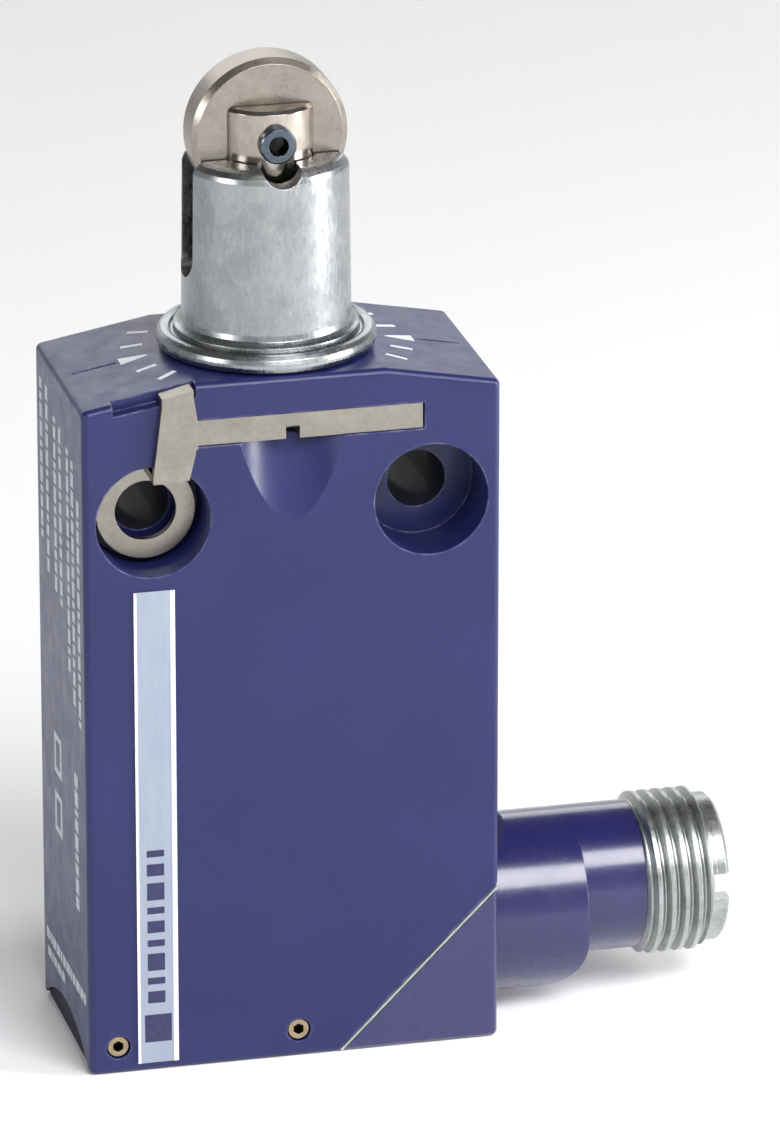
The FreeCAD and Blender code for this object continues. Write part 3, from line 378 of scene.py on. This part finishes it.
def label_print():
    """White edge lines on the label and a plain block with plain bars near its foot."""
    low, high = (Vector(corner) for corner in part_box("label_strip"))
    face = low.y
    edge_lines = [front_bar(low.x, low.x + 0.2 * MM, low.z, high.z, face),
                  front_bar(high.x - 0.35 * MM, high.x, low.z, high.z, face)]
    plate("label_edges", edge_lines, 0.02 * MM, "white_ink", "case")
    marks = [front_bar(low.x + 0.5 * MM, high.x - 0.5 * MM, low.z + 1.6 * MM, low.z + 3.7 * MM, face)]
    start = low.z + 4.6 * MM
    for length in (0.9, 0.5, 1.3, 0.5, 0.9, 0.5, 1.3, 0.9, 0.5):
        marks.append(front_bar(low.x + 0.75 * MM, low.x + 2.0 * MM, start, start + length * MM, face))
        start += (length + 0.55) * MM
    plate("label_bars", marks, 0.02 * MM, "navy_ink", "case")


def dashes(start, end, phase):
    """Uneven short dashes between two places, the same on each run."""
    spans = []
    while start < end - 0.5:
        length = 0.45 + 0.75 * (0.5 + 0.5 * math.sin(7.3 * phase + 2.9 * start))
        spans.append((start, min(start + length, end)))
        start += length + 0.28
        phase += 1
    return spans


def side_print():
    """Rows of plain dashes and two plain squares on the left side, in mm from its lower front corner."""
    face = HOUSING_LOW.x
    spans = []
    for depth, low, high in ((1.5, 26, 43), (3.3, 27, 45.5), (4.9, 29, 46), (7.4, 33, 46.5), (9.2, 33.5, 47),
                             (11.8, 34, 48), (13.8, 36, 48)):
        spans += [(depth, depth + 0.75, start, end) for start, end in dashes(low, high, depth)]
    spans += [(3.0, 4.1, start, end) for start, end in dashes(11.5, 22, 1)]
    spans += [(start, end, 5.0, 5.8) for start, end in dashes(1.2, 15, 2)]
    spans += [(start, end, 3.7, 4.4) for start, end in dashes(8.5, 15, 3)]
    for low in (19.3, 14.8):
        spans += [(8.6, 11.0, low, low + 0.45), (8.6, 11.0, low + 2.6, low + 3.05),
                  (8.6, 9.1, low + 0.45, low + 2.6), (10.5, 11.0, low + 0.45, low + 2.6)]
    outlines = []
    for near, far, low, high in spans:
        y = [HOUSING_LOW.y + side * MM for side in (near, far)]
        z = [HOUSING_LOW.z + side * MM for side in (low, high)]
        corners = [Vector((face, y[0], z[0])), Vector((face, y[1], z[0])), Vector((face, y[1], z[1])),
                   Vector((face, y[0], z[1]))]
        outlines.append((corners, Vector((-1, 0, 0))))
    plate("side_bars", outlines, 0.015 * MM, "grey_ink", "case")


# ---- studio ----

def pale_floor():
    """Wide pale sheet under the switch."""
    reach = 4.0
    level = HOUSING_LOW.z
    mesh = bmesh.new()
    corners = [(-reach, -reach), (reach, -reach), (reach, reach), (-reach, reach)]
    mesh.faces.new([mesh.verts.new((x, y, level)) for x, y in corners])
    data = bpy.data.meshes.new("floor")
    mesh.to_mesh(data)
    mesh.free()
    s = Surface("floor_paper")
    tone = s.mix(s.noise(0.12, 3.0), (0.92, 0.92, 0.93), (0.95, 0.95, 0.95))
    data.materials.append(s.finish(tone, s.spread(s.noise(0.05), 0.7, 0.8)))
    floor = bpy.data.objects.new("floor", data)
    bpy.context.scene.collection.objects.link(floor)


def softbox(name, place, target, size, power):
    light = bpy.data.lights.new(name, "AREA")
    light.shape = "RECTANGLE"
    light.size, light.size_y = size
    light.energy = power
    thing = bpy.data.objects.new(name, light)
    bpy.context.scene.collection.objects.link(thing)
    thing.location = place
    direction = Vector(target) - Vector(place)
    thing.rotation_euler = direction.to_track_quat("-Z", "Y").to_euler()
    thing.visible_camera = False


def studio_world():
    """Pale surroundings, darker overhead and to the left, so that the metal has something to reflect."""
    world = bpy.data.worlds.new("studio")
    bpy.context.scene.world = world
    world.use_nodes = True
    nodes, links = world.node_tree.nodes, world.node_tree.links
    place = nodes.new("ShaderNodeTexCoord").outputs["Generated"]
    split = nodes.new("ShaderNodeSeparateXYZ")
    links.new(place, split.inputs[0])
    strength = nodes.new("ShaderNodeMath")
    strength.operation = "MULTIPLY"
    ramps = (("Z", 0.0, 0.6, 1.0, 0.16), ("X", -0.9, -0.25, 0.5, 1.0))
    for i, (axis, start, end, low, high) in enumerate(ramps):
        ramp = nodes.new("ShaderNodeMapRange")
        for socket, value in (("From Min", start), ("From Max", end), ("To Min", low), ("To Max", high)):
            ramp.inputs[socket].default_value = value
        links.new(split.outputs[axis], ramp.inputs["Value"])
        links.new(ramp.outputs["Result"], strength.inputs[i])
    background = nodes["Background"]
    background.inputs["Color"].default_value = (0.98, 0.99, 1.0, 1.0)
    links.new(strength.outputs["Value"], background.inputs["Strength"])


def camera():
    """Long lens that looks from the left of the front and from above."""
    turn, rise, distance = math.radians(13.93), math.radians(20.37), 0.6206
    aim = Vector((8.97, -8.0, -7.54)) * MM
    back = Vector((-math.sin(turn) * math.cos(rise), -math.cos(turn) * math.cos(rise), math.sin(rise)))
    data = bpy.data.cameras.new("camera")
    data.sensor_fit = "VERTICAL"
    data.sensor_height = 36.0
    data.lens = 278.5
    data.clip_start = 0.01
    data.clip_end = 20.0
    thing = bpy.data.objects.new("camera", data)
    bpy.context.scene.collection.objects.link(thing)
    thing.location = aim + back * distance
    thing.rotation_euler = (-back).to_track_quat("-Z", "Y").to_euler()
    bpy.context.scene.camera = thing


dress_frame()
working_spring("plunger_spring", "head")
working_spring("carriage_spring", "case")
scale_marks()
label_print()
side_print()
pale_floor()
studio_world()
softbox("right_box", (0.40, -0.16, 0.10), (0, 0, 0.01), (0.12, 0.30), 2.2)
softbox("front_box", (0.12, -0.40, 0.40), (0, 0, -0.01), (0.40, 0.24), 3.3)
softbox("left_box", (-0.45, -0.19, 0.13), (0, 0, 0.02), (0.16, 0.12), 0.7)
softbox("back_box", (0.15, 1.0, 0.45), (0, 0.2, 0), (1.4, 0.35), 3.0)
camera()
bpy.context.scene.view_settings.view_transform = "Standard"
